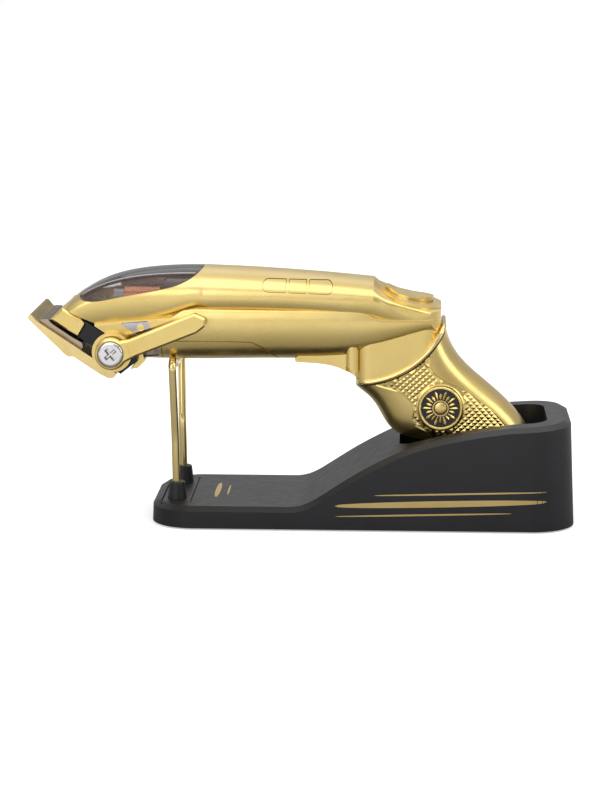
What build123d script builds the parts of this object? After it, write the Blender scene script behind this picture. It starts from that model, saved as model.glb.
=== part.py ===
"""Cordless hair clipper with a pistol grip, lying in its charging stand.

Units are millimetres. +X runs from the blade to the rear of the stand, -Y is the side with the
taper lever, and +Z is up. The origin is on the table, under the middle of the whole object.
"""

import os
from math import cos, radians, sin

from build123d import *

# ---------------------------------------------------------------- driving dimensions
# Stand
STAND_FRONT = -62.0
STAND_REAR = 112.0
STAND_HALF_WIDTH = 33.0
STAND_CORNER = 18.0
STAND_DRAFT = 2.5
STAND_WALL = 2.6
FOOT_HEIGHT = 0.6
PLATE_TOP = 9.3
REAR_TOP = 44.0
BASE_PLATE_THICKNESS = 2.4
POCKET_FRONT = 40.0
POCKET_REAR = 100.5
POCKET_HALF_WIDTH = 21.0
POCKET_FLOOR = 16.0

# Cradle that carries the barrel
CRADLE_X = -51.8
CRADLE_HALF_SPAN = 15.5
ROD_RADIUS = 1.6
ROD_DIP = 64.2
ROD_CORNER_Z = 69.0
ROD_CORNER_Y = 20.4
BOSS_TOP = 16.5
ROD_LEAN = 0.018

# Power inlet in the stand's rear wall
INLET_WIDTH = 12.0
INLET_HEIGHT = 7.0
INLET_Z = 14.0

# Feet and screws under the stand
SCREW_RADIUS = 1.5
FOOT_PLACES = [(x, y) for x in (-44.0, 94.0) for y in (-22.0, 22.0)]
SCREW_PLACES = [(x, y) for x in (-30.0, 76.0) for y in (-23.0, 23.0)]

# Barrel: two shells that meet along a stepped parting line
WALL = 1.7
SEAM_WIDTH = 0.45
SEAM_DEPTH = 0.7
BARREL_REAR = 56.7
CAVITY_REAR = 50.0
COLLAR_FRONT = 21.9
COLLAR_HALF_WIDTH = 18.0
INSERT_PLACES = [(-65.6, 81.6), (-61.9, 71.4)]
INSERT_RADIUS = 1.5
GUARD_PIN_X = 20.6
GUARD_PIN_Y = 15.2
GUARD_PIN_RADIUS = 2.7
GUARD_PIN_TOP = 73.8
GUARD_PIN_BOTTOM = 59.0

# Grip, which leans back from the barrel along its own axis
GRIP_TILT = 40.0
GRIP_ORIGIN = (40.0, 65.0)
GRIP_HALF_WIDTH = 17.0
RIM_CENTRE = (22.3, 98.0)
RIM_INNER = 38.0
RIM_OUTER = 40.0
RIM_TOP = 79.4
KNURL_HEIGHT = 0.5
EMBLEM_CENTRE = (56.7, 48.5)
EMBLEM_RADIUS = 9.0
EMBLEM_OUTER = 18.4

# Blade set, in a frame of its own: b runs from the tooth tips to the heel, n up from the blade
BLADE_ORIGIN = (-109.3, 85.0)
BLADE_ANGLE = 33.5
BLADE_HALF_WIDTH = 23.0
BLADE_LENGTH = 40.7
TOOTH_LENGTH = 7.0
FIXED_TEETH = 30
CUTTER_HALF_WIDTH = 20.0
CUTTER_FRONT = 2.6
CUTTER_REAR = 23.1
CUTTER_GAP = 0.1
CUTTER_THICKNESS = 2.2
CUTTER_TEETH = 22
BLADE_SCREW_B = 33.0
BLADE_SCREW_Y = 15.0
DRIVE_B = 16.6
FINGER_RADIUS = 1.6

# Taper lever
PIVOT = (-77.3, 71.4)
LEVER_ANGLE = 20.5
LEVER_LENGTH = 38.0
LEVER_INNER_Y = -24.0
LEVER_OUTER_Y = -28.0
HUB_RADIUS = 6.5
LEVER_SCREW_RADIUS = 5.3
SHAFT_RADIUS = 2.4
LEVER_RECESS = 0.4
CRANK_RADIUS = 2.2
CRANK_HALF_ANGLE = 25.0
CRANK_PIN_RADIUS = 1.1
BOSS_RADIUS = 8.2

# Power button
BUTTON_FRONT = 33.6
BUTTON_REAR = 53.4
BUTTON_HALF_WIDTH = 9.6
BUTTON_TILT = 12.0
BUTTON_GAP = 0.3
BUTTON_TRAVEL = 0.8
BUTTON_DEPTH = 3.8

os.makedirs("parts", exist_ok=True)


# ---------------------------------------------------------------- shared construction
def export(piece, name):
    """Label a finished piece and write it under its own name."""
    piece.part.label = name
    export_step(piece.part, f"parts/{name}.step")


def grip_point(s, e):
    """World x, z of a point s down the grip's axis and e towards its back."""
    tilt = radians(GRIP_TILT)
    x = GRIP_ORIGIN[0] + s * sin(tilt) + e * cos(tilt)
    z = GRIP_ORIGIN[1] - s * cos(tilt) + e * sin(tilt)
    return x, z


def blade_point(b, n):
    """World x, z of a point b behind the tooth tips and n above the blade's face."""
    angle = radians(BLADE_ANGLE)
    x = BLADE_ORIGIN[0] + b * cos(angle) + n * sin(angle)
    z = BLADE_ORIGIN[1] - b * sin(angle) + n * cos(angle)
    return x, z


def blade_points(pairs):
    """World x, z of a list of b, n points."""
    return [blade_point(b, n) for b, n in pairs]


def quarter(start, corner, end, fullness):
    """Rounded quarter from start to end, pulled towards their common corner."""
    pull_start = tuple(p + fullness * (c - p) for p, c in zip(start, corner))
    pull_end = tuple(p + fullness * (c - p) for p, c in zip(end, corner))
    return Bezier(start, pull_start, pull_end, end)


def top_section(x, top, widest, width, fullness, tuck, drop, inset=0.0):
    """Section of the upper shell: a crown that tucks inwards again below its widest line."""
    w = width - inset
    crest = top - inset
    lip = w - tuck
    with BuildSketch(Plane(origin=(x, 0, 0), x_dir=(0, 1, 0), z_dir=(1, 0, 0))) as section:
        with BuildLine():
            quarter((0, crest), (w, crest), (w, widest), fullness)
            Bezier(
                (w, widest), (w, widest - 0.42 * drop), (w - 0.38 * tuck, widest - 0.75 * drop),
                (lip, widest - drop),
            )
            Line((lip, widest - drop), (lip - 1.2, widest - 12))
            Line((lip - 1.2, widest - 12), (0, widest - 12))
            mirror(about=Plane.YZ)
        make_face()
    return section.sketch


def bottom_section(x, widest, bottom, width, fullness, inset=0.0):
    """Section of the lower shell: sides that lean in at the top and round under into the belly."""
    w = width - inset
    with BuildSketch(Plane(origin=(x, 0, 0), x_dir=(0, 1, 0), z_dir=(1, 0, 0))) as section:
        with BuildLine():
            Line((0, widest + 9), (w - 2.6, widest + 9))
            Bezier((w - 2.6, widest + 9), (w - 1.2, widest + 6), (w, widest + 3), (w, widest))
            quarter((w, widest), (w, bottom + inset), (0, bottom + inset), fullness)
            mirror(about=Plane.YZ)
        make_face()
    return section.sketch


def grip_section(s, front, back, width, fullness, inset=0.0):
    """Section of the grip across its axis, from its front edge to its back edge."""
    front_edge = front + inset
    back_edge = back - inset
    middle = (front_edge + back_edge) / 2
    w = width - inset
    x, z = grip_point(s, 0)
    tilt = radians(GRIP_TILT)
    across = Plane(origin=(x, 0, z), x_dir=(cos(tilt), 0, sin(tilt)), z_dir=(-sin(tilt), 0, cos(tilt)))
    with BuildSketch(across) as section:
        with BuildLine():
            quarter((back_edge, 0), (back_edge, w), (middle, w), fullness)
            quarter((middle, w), (front_edge, w), (front_edge, 0), fullness)
            mirror(about=Plane.XZ)
        make_face()
    return section.sketch


# x, top, height of the widest line, half width, fullness of the crown, depth and height of the tuck
NOSE_STATIONS = [
    (-99.5, 86.3, 83.4, 17.5, 0.70, 1.0, 6.0),
    (-93.0, 92.9, 88.2, 19.9, 0.70, 1.3, 6.5),
    (-85.0, 97.7, 91.3, 21.0, 0.70, 1.7, 8.8),
    (-75.0, 101.3, 93.2, 21.7, 0.69, 1.8, 9.6),
    (-63.0, 103.4, 94.0, 22.1, 0.68, 1.8, 9.4),
    (-50.0, 104.3, 94.2, 22.2, 0.67, 2.0, 7.4),
    (-40.0, 104.3, 94.2, 22.15, 0.67, 2.2, 5.5),
]
MIDDLE_STATIONS = [
    (-40.0, 104.3, 94.2, 22.15, 0.67, 2.2, 5.5),
    (-6.0, 102.6, 93.9, 21.7, 0.67, 2.2, 5.5),
    (29.0, 99.6, 93.0, 20.9, 0.67, 2.0, 7.0),
]
TAIL_STATIONS = [
    (29.0, 99.6, 93.0, 20.9, 0.67, 2.0, 7.0),
    (33.0, 95.9, 92.3, 20.6, 0.75, 1.8, 7.6),
    (39.0, 92.7, 90.7, 20.2, 0.85, 1.6, 7.6),
    (48.0, 90.3, 88.0, 19.6, 0.85, 1.4, 7.0),
    (60.0, 87.8, 85.6, 18.8, 0.85, 1.4, 7.0),
]
# x, height of the widest line, bottom, half width, fullness of the belly
BOTTOM_STATIONS = [
    (-88.0, 83.0, 67.5, 20.6, 0.74),
    (-72.0, 83.6, 66.6, 21.5, 0.73),
    (-55.0, 84.0, 66.2, 22.0, 0.72),
    (-30.0, 84.0, 66.3, 22.0, 0.70),
    (-4.0, 84.0, 66.6, 21.6, 0.70),
    (20.0, 84.0, 67.6, 21.0, 0.70),
    (40.0, 84.0, 73.2, 20.0, 0.70),
    (60.0, 84.0, 77.5, 18.8, 0.70),
]
# s, front edge, back edge, half width, fullness
GRIP_STATIONS = [
    (-18.0, -19.8, 37.0, 17.0, 0.78),
    (-8.0, -19.9, 29.6, 17.0, 0.78),
    (0.0, -19.4, 24.2, 17.0, 0.78),
    (7.0, -19.0, 21.2, 17.0, 0.78),
    (17.5, -20.5, 20.2, 17.0, 0.78),
    (27.0, -16.6, 21.5, 16.8, 0.76),
    (38.0, -8.4, 23.3, 16.0, 0.74),
    (49.0, 1.0, 23.8, 14.0, 0.68),
    (57.0, 10.0, 22.6, 9.5, 0.60),
]


def top_solid(inset):
    """The upper shell's outer form, barrel and tail together, drawn in by an inset."""
    with BuildPart() as barrel:
        for stations in (NOSE_STATIONS, MIDDLE_STATIONS, TAIL_STATIONS):
            loft([top_section(*station, inset=inset) for station in stations])
    return barrel.part


def bottom_solid(inset):
    """The lower shell's outer form, drawn in by an inset."""
    with BuildPart() as barrel:
        loft([bottom_section(*station, inset=inset) for station in BOTTOM_STATIONS])
    return barrel.part


def grip_solid(inset):
    """The grip's outer form, drawn in by an inset."""
    with BuildPart() as grip:
        loft([grip_section(*station, inset=inset) for station in GRIP_STATIONS])
    return grip.part


def side_prism(points, half_width):
    """A closed side outline in x, z, extruded to both sides."""
    with BuildPart() as prism:
        with BuildSketch(Plane.XZ):
            with BuildLine():
                Polyline(points, close=True)
            make_face()
        extrude(amount=half_width, both=True)
    return prism.part


def plan_prism(front, rear, half_width, front_radius, rear_radius, low, high):
    """A rounded plan outline between two heights."""
    with BuildPart() as prism:
        with BuildSketch(Plane.XY.offset(low)) as outline:
            with Locations(((front + rear) / 2, 0)):
                Rectangle(rear - front, 2 * half_width)
            fillet(outline.vertices().group_by(Axis.X)[-1], rear_radius)
            fillet(outline.vertices().group_by(Axis.X)[0], front_radius)
        extrude(amount=high - low)
    return prism.part


def cross_rod(x, z, radius, start, end):
    """A round bar along Y at x, z."""
    with BuildPart() as rod:
        with BuildSketch(Plane(origin=(x, start, z), x_dir=(1, 0, 0), z_dir=(0, 1, 0))):
            Circle(radius)
        extrude(amount=end - start)
    return rod.part


# ---------------------------------------------------------------- stand
STAND_PROFILE = [(-5, 9.3), (8, 13.9), (20, 21.7), (32.3, 28.6), (46, 34.6), (62, 38.8), (86, 42.7)]


def stand_block(inset, low):
    """The stand's drafted, rounded outer block above a height, drawn in by an inset."""
    with BuildPart() as block:
        with BuildSketch(Plane.XY.offset(FOOT_HEIGHT)) as outline:
            with Locations(((STAND_FRONT + STAND_REAR) / 2, 0)):
                Rectangle(STAND_REAR - STAND_FRONT - 2 * inset, 2 * (STAND_HALF_WIDTH - inset))
            fillet(outline.vertices(), STAND_CORNER - inset)
        extrude(amount=REAR_TOP + 4, taper=STAND_DRAFT)
        split(bisect_by=Plane.XY.offset(low), keep=Keep.TOP)
    return block.part


def stand_profile(drop, half_width):
    """Everything under the stand's top line, lowered by a drop."""
    with BuildPart() as under:
        with BuildSketch(Plane.XZ):
            with BuildLine():
                points = [(x, z - drop) for x, z in STAND_PROFILE]
                front = (STAND_FRONT - 10, PLATE_TOP - drop)
                rear = (STAND_REAR + 10, REAR_TOP - drop + 1)
                Line(front, points[0])
                ramp = Spline(points, tangents=((1, 0), (1, 0.13)))
                Line(ramp @ 1, rear)
                Polyline([rear, (rear[0], -10), (front[0], -10), front])
            make_face()
        extrude(amount=half_width, both=True)
    return under.part


grip_up = (-sin(radians(GRIP_TILT)), 0, cos(radians(GRIP_TILT)))
pocket = plan_prism(POCKET_FRONT, POCKET_REAR, POCKET_HALF_WIDTH, 12, 8, POCKET_FLOOR, REAR_TOP + 10)
tub = plan_prism(
    POCKET_FRONT - STAND_WALL,
    POCKET_REAR + STAND_WALL,
    POCKET_HALF_WIDTH + STAND_WALL,
    12 + STAND_WALL,
    8 + STAND_WALL,
    POCKET_FLOOR - STAND_WALL,
    REAR_TOP + 10,
)
base_top = FOOT_HEIGHT + 0.4 + BASE_PLATE_THICKNESS

# The hollow underneath, open at the bottom for the base plate and closed round the pocket's tub.
with BuildPart() as hollow:
    add(stand_block(STAND_WALL, FOOT_HEIGHT))
    add(stand_profile(STAND_WALL + 1.6, 50), mode=Mode.INTERSECT)
    add(tub, mode=Mode.SUBTRACT)
    with BuildSketch(Plane.XY.offset(base_top)):
        with Locations(*SCREW_PLACES):
            Circle(3.4)
    extrude(amount=30, mode=Mode.SUBTRACT)

with BuildPart() as stand_shell:
    add(stand_block(0, FOOT_HEIGHT))
    add(stand_profile(0, 50), mode=Mode.INTERSECT)
    top_edges = stand_shell.edges().filter_by(lambda edge: edge.center().Z > PLATE_TOP - 0.5)
    chamfer(top_edges, 1.8, 2.8)
    add(hollow.part, mode=Mode.SUBTRACT)
    add(pocket, mode=Mode.SUBTRACT)
    with BuildSketch(Plane.XY.offset(FOOT_HEIGHT)):
        with Locations((CRADLE_X, 0)):
            Rectangle(12.4, 2 * CRADLE_HALF_SPAN + 16.4)
    extrude(amount=PLATE_TOP, mode=Mode.SUBTRACT)
    with BuildSketch(Plane(origin=(STAND_REAR + 5, 0, INLET_Z), x_dir=(0, 1, 0), z_dir=(-1, 0, 0))):
        RectangleRounded(INLET_WIDTH + 0.4, INLET_HEIGHT + 0.4, 2.7)
    extrude(amount=9, mode=Mode.SUBTRACT)
    with BuildSketch(Plane.XY):
        with Locations(*SCREW_PLACES):
            Circle(SCREW_RADIUS)
    extrude(amount=7, mode=Mode.SUBTRACT)
export(stand_shell, "stand_shell")

with BuildPart() as stand_base_plate:
    with BuildSketch(Plane.XY.offset(FOOT_HEIGHT + 0.4)) as plate:
        with Locations(((STAND_FRONT + STAND_REAR) / 2, 0)):
            Rectangle(
                STAND_REAR - STAND_FRONT - 2 * STAND_WALL - 0.6,
                2 * (STAND_HALF_WIDTH - STAND_WALL) - 0.6,
            )
        fillet(plate.vertices(), STAND_CORNER - STAND_WALL - 0.3)
        with Locations(*SCREW_PLACES):
            Circle(1.6, mode=Mode.SUBTRACT)
    extrude(amount=BASE_PLATE_THICKNESS)
    with BuildSketch(Plane.XY.offset(FOOT_HEIGHT + 0.4)):
        with Locations(*FOOT_PLACES):
            RectangleRounded(16.4, 8.4, 4.1)
    extrude(amount=0.8, mode=Mode.SUBTRACT)
export(stand_base_plate, "stand_base_plate")

with BuildPart() as stand_feet:
    with BuildSketch():
        with Locations(*FOOT_PLACES):
            RectangleRounded(16, 8, 3.9)
    extrude(amount=FOOT_HEIGHT + 1.2)
    fillet(stand_feet.edges().group_by(Axis.Z)[0], 0.4)
export(stand_feet, "stand_feet")

with BuildPart() as stand_screws:
    with BuildSketch(Plane.XY.offset(FOOT_HEIGHT + 0.2)):
        with Locations(*SCREW_PLACES):
            Circle(2.6)
    extrude(amount=0.2)
    with BuildSketch(Plane.XY.offset(FOOT_HEIGHT + 0.4)):
        with Locations(*SCREW_PLACES):
            Circle(SCREW_RADIUS)
    extrude(amount=5.6)
    with BuildSketch(Plane.XY.offset(FOOT_HEIGHT + 0.2)):
        with Locations(*SCREW_PLACES):
            Rectangle(2.4, 0.6)
            Rectangle(0.6, 2.4)
    extrude(amount=1.2, mode=Mode.SUBTRACT)
export(stand_screws, "stand_screws")

# The rod stands in the bosses, spreads like a lyre and dips in the middle under the barrel.
cradle_plane = Plane(origin=(CRADLE_X, 0, 0), x_dir=(0, 1, 0), z_dir=(1, 0, ROD_LEAN))
with BuildPart() as cradle_rod:
    with BuildLine(cradle_plane) as rod_line:
        half = [
            (CRADLE_HALF_SPAN, base_top + 2.2),
            (CRADLE_HALF_SPAN, 36),
            (ROD_CORNER_Y, ROD_CORNER_Z),
            (7, ROD_DIP),
        ]
        FilletPolyline(
            *half,
            *[(-y, z) for y, z in reversed(half)],
            radius=[40, 3.2, 14, 14, 3.2, 40],
        )
    with BuildSketch(Plane(origin=rod_line.line @ 0, z_dir=rod_line.line % 0)):
        Circle(ROD_RADIUS)
    sweep(path=rod_line.line)
export(cradle_rod, "cradle_rod")

# One block under the plate carries both bosses, joined by a low saddle.
with BuildPart() as cradle_block:
    with BuildSketch(Plane.XY.offset(base_top + 0.1)):
        with Locations((CRADLE_X, 0)):
            Rectangle(12, 2 * CRADLE_HALF_SPAN + 16)
    extrude(amount=PLATE_TOP - base_top)
    fillet(cradle_block.edges().group_by(Axis.Z)[-1], 0.8)
    boss_places = [(CRADLE_X, y) for y in (-CRADLE_HALF_SPAN, CRADLE_HALF_SPAN)]
    with BuildSketch(Plane.XY.offset(PLATE_TOP - 1)):
        with Locations(*boss_places):
            Circle(4.1)
    extrude(amount=BOSS_TOP - PLATE_TOP + 1, taper=6)
    fillet(cradle_block.edges().group_by(Axis.Z)[-1], 0.6)
    add(cradle_rod.part, mode=Mode.SUBTRACT)
export(cradle_block, "cradle_block")

with BuildPart() as charge_block:
    with BuildSketch(Plane.XZ.offset(-7)):
        with BuildLine():
            Polyline(
                (66, POCKET_FLOOR),
                (93, POCKET_FLOOR),
                (93, 26.5),
                grip_point(58.6, 16.5),
                grip_point(58.6, 8),
                (66, 19),
                close=True,
            )
        make_face()
    extrude(amount=14)
export(charge_block, "charge_block")

with BuildPart() as charge_pins:
    for side in (-1, 1):
        x, z = grip_point(59.55, 14)
        with BuildSketch(Plane(origin=(x, 3.5 * side, z), z_dir=grip_up)):
            Circle(1.2)
        extrude(amount=1.9)
    add(charge_block.part, mode=Mode.SUBTRACT)
export(charge_pins, "charge_pins")

with BuildPart() as power_inlet:
    inlet_plane = Plane(origin=(STAND_REAR - 1.4, 0, INLET_Z), x_dir=(0, 1, 0), z_dir=(-1, 0, 0))
    with BuildSketch(inlet_plane):
        RectangleRounded(INLET_WIDTH, INLET_HEIGHT, 2.5)
    extrude(amount=6.8)
    with BuildSketch(inlet_plane):
        RectangleRounded(INLET_WIDTH - 2, INLET_HEIGHT - 2, 1.6)
    extrude(amount=5.4, mode=Mode.SUBTRACT)
    with BuildSketch(inlet_plane.offset(0.8)):
        Rectangle(6, 0.8)
    extrude(amount=5)
export(power_inlet, "power_inlet")

with BuildPart() as charge_board:
    with BuildSketch(Plane.XY.offset(base_top + 1.6)):
        with Locations((STAND_REAR - 34, 0)):
            Rectangle(44, 30)
    extrude(amount=1.6)
    with BuildSketch(Plane.XY.offset(base_top + 3.2)):
        with Locations((STAND_REAR - 42, -8), (STAND_REAR - 26, 7)):
            Rectangle(7, 7)
    extrude(amount=1.8)
export(charge_board, "charge_board")


# ---------------------------------------------------------------- clipper housing
PARTING = [
    (-97.8, 89.2),
    (-94.8, 87.2),
    (-90.9, 85.5),
    (-84.6, 82.9),
    (-74.0, 84.0),
    (-52.8, 85.7),
    (-50.8, 87.0),
    (-48.2, 88.7),
    (-44.5, 89.1),
    (20.5, 88.5),
    (24.5, 88.0),
    (30.0, 85.8),
    (33.5, 85.2),
    (50.0, 85.3),
    (58.0, 86.2),
]


def above_parting(lift):
    """Everything over the parting line, raised by a lift."""
    line = [(x, z + lift) for x, z in PARTING]
    return side_prism(line + [(62, line[-1][1]), (62, 112), (line[0][0], 112)], 40)


def below_parting(drop):
    """Everything under the parting line, lowered by a drop."""
    line = [(x, z - drop) for x, z in PARTING[3:]]
    return side_prism(line + [(62, line[-1][1]), (62, 40), (-84.6, 40)], 40)


def window_prism(gap):
    """The region above the window's lower edge, widened by a gap."""
    with BuildPart() as region:
        with BuildSketch(Plane.XZ):
            with BuildLine():
                points = [(-92.8, 95.6), (-90.4, 92.8), (-86.4, 92.1), (-76, 93.7), (-58, 97.1)]
                points += [(-49.7, 99.3), (-40.5, 105.2)]
                edge = Spline([(x, z - gap) for x, z in points])
                Polyline([edge @ 1, (-40.5, 112), (-92.8, 112), edge @ 0])
            make_face()
        extrude(amount=40, both=True)
    return region.part


outer_plan = plan_prism(-110, BARREL_REAR, 22.7, 2, 13, 40, 112)
inner_plan = plan_prism(-96.5, CAVITY_REAR, 26, 2, 2, 40, 112)
collar = plan_prism(COLLAR_FRONT, BARREL_REAR, COLLAR_HALF_WIDTH, 6, 7, 50, 84)
collar_hollow = plan_prism(
    COLLAR_FRONT + 2, BARREL_REAR - 2, COLLAR_HALF_WIDTH - 2, 4, 5, 50, 84
)
rim_inner_disc = cross_rod(*RIM_CENTRE, RIM_INNER, -40, 40)
rim_outer_disc = cross_rod(*RIM_CENTRE, RIM_OUTER, -40, 40)
blade_angle = radians(BLADE_ANGLE)
blade_plane = Plane(
    origin=(BLADE_ORIGIN[0], 0, BLADE_ORIGIN[1]),
    x_dir=(cos(blade_angle), 0, -sin(blade_angle)),
    z_dir=(sin(blade_angle), 0, cos(blade_angle)),
)
# The crank pin starts this far round from the world's vertical, ahead of the blade's normal.
crank_start = blade_angle - radians(CRANK_HALF_ANGLE)
pivot_b = (PIVOT[0] - BLADE_ORIGIN[0]) * cos(blade_angle) - (PIVOT[1] - BLADE_ORIGIN[1]) * sin(blade_angle)
crank_b = pivot_b - CRANK_RADIUS * sin(radians(CRANK_HALF_ANGLE))

# Round wells in the shell's flanks for the guard pins.
with BuildPart() as guard_pin_wells_part:
    for side in (-1, 1):
        with BuildSketch(Plane.XY.offset(50)):
            with Locations((GUARD_PIN_X, side * GUARD_PIN_Y)):
                Circle(GUARD_PIN_RADIUS + 0.25)
        extrude(amount=GUARD_PIN_TOP + 0.25 - 50)
guard_pin_wells = guard_pin_wells_part.part

# Nothing of the housing reaches below the fixed blade's face.
below_blade = side_prism(blade_points([(-5, 0), (42.5, 0), (42.5, -20), (-5, -20)]), 40)

with BuildPart() as grip_cavity:
    loft([grip_section(*station, inset=2.0) for station in GRIP_STATIONS[:-1]])

button_origin = Vector((BUTTON_FRONT + BUTTON_REAR) / 2, 0, 92.6)
button_up = (sin(radians(BUTTON_TILT)), 0, cos(radians(BUTTON_TILT)))
button_plane = Plane(
    origin=button_origin,
    x_dir=(cos(radians(BUTTON_TILT)), 0, -sin(radians(BUTTON_TILT))),
    z_dir=button_up,
)

# The deck that the button sits in: an oval island, hollowed lengthwise like a saddle.
with BuildPart() as deck:
    with BuildSketch(Plane.XY.offset(84)):
        with Locations((43.6, 0)):
            Ellipse(13.8, 18.0)
    extrude(amount=24)
    with BuildSketch(Plane.XZ):
        with BuildLine():
            saddle = Spline((28, 100.6), (33.5, 96.0), (39.7, 93.2), (46, 91.7), (52, 90.4), (59, 89.2))
            Polyline([saddle @ 1, (59, 80), (28, 80), saddle @ 0])
        make_face()
    extrude(amount=30, both=True, mode=Mode.INTERSECT)

with BuildPart() as button_well:
    with BuildSketch(button_plane.offset(-9)):
        Ellipse((BUTTON_REAR - BUTTON_FRONT) / 2 + BUTTON_GAP, BUTTON_HALF_WIDTH + BUTTON_GAP)
    extrude(amount=24)

with BuildPart() as top_cavity:
    add(top_solid(WALL))
    add(inner_plan, mode=Mode.INTERSECT)


# Three indicator bars on each side of the crown make one pill, cut by two gaps.
def indicator_pill(gap):
    """The three bars' side outlines, cut right through the crown and widened by a gap."""
    with BuildPart() as pill:
        with BuildSketch(Plane.XZ):
            with Locations(Location((-1.7, 98.45), -2.0)):
                SlotOverall(28.4 + 2 * gap, 4.6 + 2 * gap)
        extrude(amount=30, both=True)
        with BuildSketch(Plane.XZ):
            with Locations((-5.8, 98.6), (2.4, 98.3)):
                Rectangle(1.5 - 2 * gap, 10)
        extrude(amount=30, both=True, mode=Mode.SUBTRACT)
    return pill.part


with BuildPart() as indicator_wells:
    add(indicator_pill(0.2))
    add(top_solid(0.9), mode=Mode.SUBTRACT)

with BuildPart() as top_housing:
    add(top_solid(0))
    add(deck.part)
    add(outer_plan, mode=Mode.INTERSECT)
    add(above_parting(0), mode=Mode.INTERSECT)
    add(top_cavity.part, mode=Mode.SUBTRACT)
    add(window_prism(0.2), mode=Mode.SUBTRACT)
    add(button_well.part, mode=Mode.SUBTRACT)
    add(indicator_wells.part, mode=Mode.SUBTRACT)
export(top_housing, "top_housing")

with BuildPart() as motor_window:
    add(top_solid(0.1))
    add(top_solid(WALL - 0.1), mode=Mode.SUBTRACT)
    add(window_prism(0), mode=Mode.INTERSECT)
export(motor_window, "motor_window")

BELLY_LINE = [(-57.6, 76.2), (-29, 76.2), (-20, 75.8), (-15.5, 73.4), (-12, 70.6), (-7.5, 66), (-6, 60)]


def belly_region(gap):
    """Everything under the belly cover's seam, drawn back by a gap."""
    line = [(x - gap, z - gap) for x, z in BELLY_LINE[1:]]
    return side_prism([(BELLY_LINE[0][0] + gap, 60), (BELLY_LINE[0][0] + gap, 76.2 - gap), *line], 30)



# The bracket's side outline; the lower shell stays clear of it.
BRACKET_OUTLINE = blade_points([
    (19.2, 3.4), (26.9, 3.4), (26.9, 0.15), (42, 0.15), (44.7, 8.6), (43.7, 10.2), (40.9, 7.4),
    (27.5, 10.5), (16.2, 10.3), (19, 9.4),
])
shell_front_cut = side_prism(
    blade_points([(0, 11.1), (27.6, 11.1), (41, 7.6), (43.8, 10.4), (44.9, 8.5), (42.2, -8), (0, -8)]),
    30,
)
chin = side_prism([(-71.2, 63.4), (-67.4, 64.1), (-64.6, 66.8), (-64.6, 70.4), (-70, 70.4)], 17)

with BuildPart() as bottom_cavity:
    add(bottom_solid(WALL))
    add(inner_plan, mode=Mode.INTERSECT)
    add(collar_hollow)

# A small step along the top of the lower shell leaves a groove under the upper shell.
with BuildPart() as bottom_rim:
    add(bottom_solid(0.7))
    add(outer_plan, mode=Mode.INTERSECT)
    add(below_parting(0), mode=Mode.INTERSECT)

# Behind the rim's circle the barrel gives way to the grip.
with BuildPart() as beyond_rim:
    with BuildSketch(Plane.XZ):
        with Locations((COLLAR_FRONT + 25, 66)):
            Rectangle(51, 40)
    extrude(amount=40, both=True)
    add(rim_inner_disc, mode=Mode.SUBTRACT)

with BuildPart() as lower_form:
    add(bottom_solid(0))
    add(outer_plan, mode=Mode.INTERSECT)
    add(below_parting(0.9), mode=Mode.INTERSECT)
    add(bottom_rim.part)
    add(collar)
    add(beyond_rim.part, mode=Mode.SUBTRACT)

# Chrome side plates sit in shallow recesses behind the lever, one piece on each side.
SIDE_PLATE_OUTLINE = [
    (-73.6, 83.2), (-62.9, 84.2), (-60.7, 81.2), (-61.5, 75.4), (-58.8, 75.2), (-58.8, 69.0),
    (-64.8, 68.2), (-66.4, 73.0), (-64.6, 77.6), (-67.3, 78.6),
]
side_plate_slab = side_prism(SIDE_PLATE_OUTLINE, 30)

with BuildPart() as bottom_housing:
    add(lower_form.part)
    add(chin)
    add(bottom_cavity.part, mode=Mode.SUBTRACT)
    add(shell_front_cut, mode=Mode.SUBTRACT)
    add(belly_region(0), mode=Mode.SUBTRACT)
    for side in (-1, 1):
        add(cross_rod(*PIVOT, BOSS_RADIUS, side * 19.9, side * 22.8))
        add(cross_rod(*PIVOT, BOSS_RADIUS - 1.4, side * 22.0, side * 24), mode=Mode.SUBTRACT)
    add(cross_rod(*PIVOT, SHAFT_RADIUS + 0.4, -24, 24), mode=Mode.SUBTRACT)
    add(below_blade, mode=Mode.SUBTRACT)
    add(side_plate_slab, mode=Mode.SUBTRACT)
    add(guard_pin_wells, mode=Mode.SUBTRACT)
export(bottom_housing, "bottom_housing")

# The plate's place in the wall is filled again behind it, so that the shell stays closed.
with BuildPart() as side_plate_backing:
    add(bottom_solid(0.9))
    add(bottom_solid(WALL), mode=Mode.SUBTRACT)
    add(side_plate_slab, mode=Mode.INTERSECT)
    add(below_parting(0), mode=Mode.INTERSECT)
    add(shell_front_cut, mode=Mode.SUBTRACT)
export(side_plate_backing, "side_plate_backing")

with BuildPart() as side_plates:
    add(bottom_solid(0.3))
    add(bottom_solid(0.9), mode=Mode.SUBTRACT)
    add(side_plate_slab, mode=Mode.INTERSECT)
    add(below_parting(0.9), mode=Mode.INTERSECT)
    add(shell_front_cut, mode=Mode.SUBTRACT)
    for place in INSERT_PLACES:
        add(cross_rod(*place, INSERT_RADIUS, -30, 30), mode=Mode.SUBTRACT)
export(side_plates, "side_plates")

with BuildPart() as side_plate_inserts:
    for place in INSERT_PLACES:
        add(cross_rod(*place, INSERT_RADIUS, -30, 30))
    add(bottom_solid(0.1), mode=Mode.INTERSECT)
    add(bottom_solid(0.9), mode=Mode.SUBTRACT)
export(side_plate_inserts, "side_plate_inserts")

# The cover's outer skin stays a little short of the seam and leaves a groove round it.
with BuildPart() as belly_skin:
    add(bottom_solid(0))
    add(bottom_solid(SEAM_DEPTH), mode=Mode.SUBTRACT)
    add(belly_region(SEAM_WIDTH), mode=Mode.INTERSECT)

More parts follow.
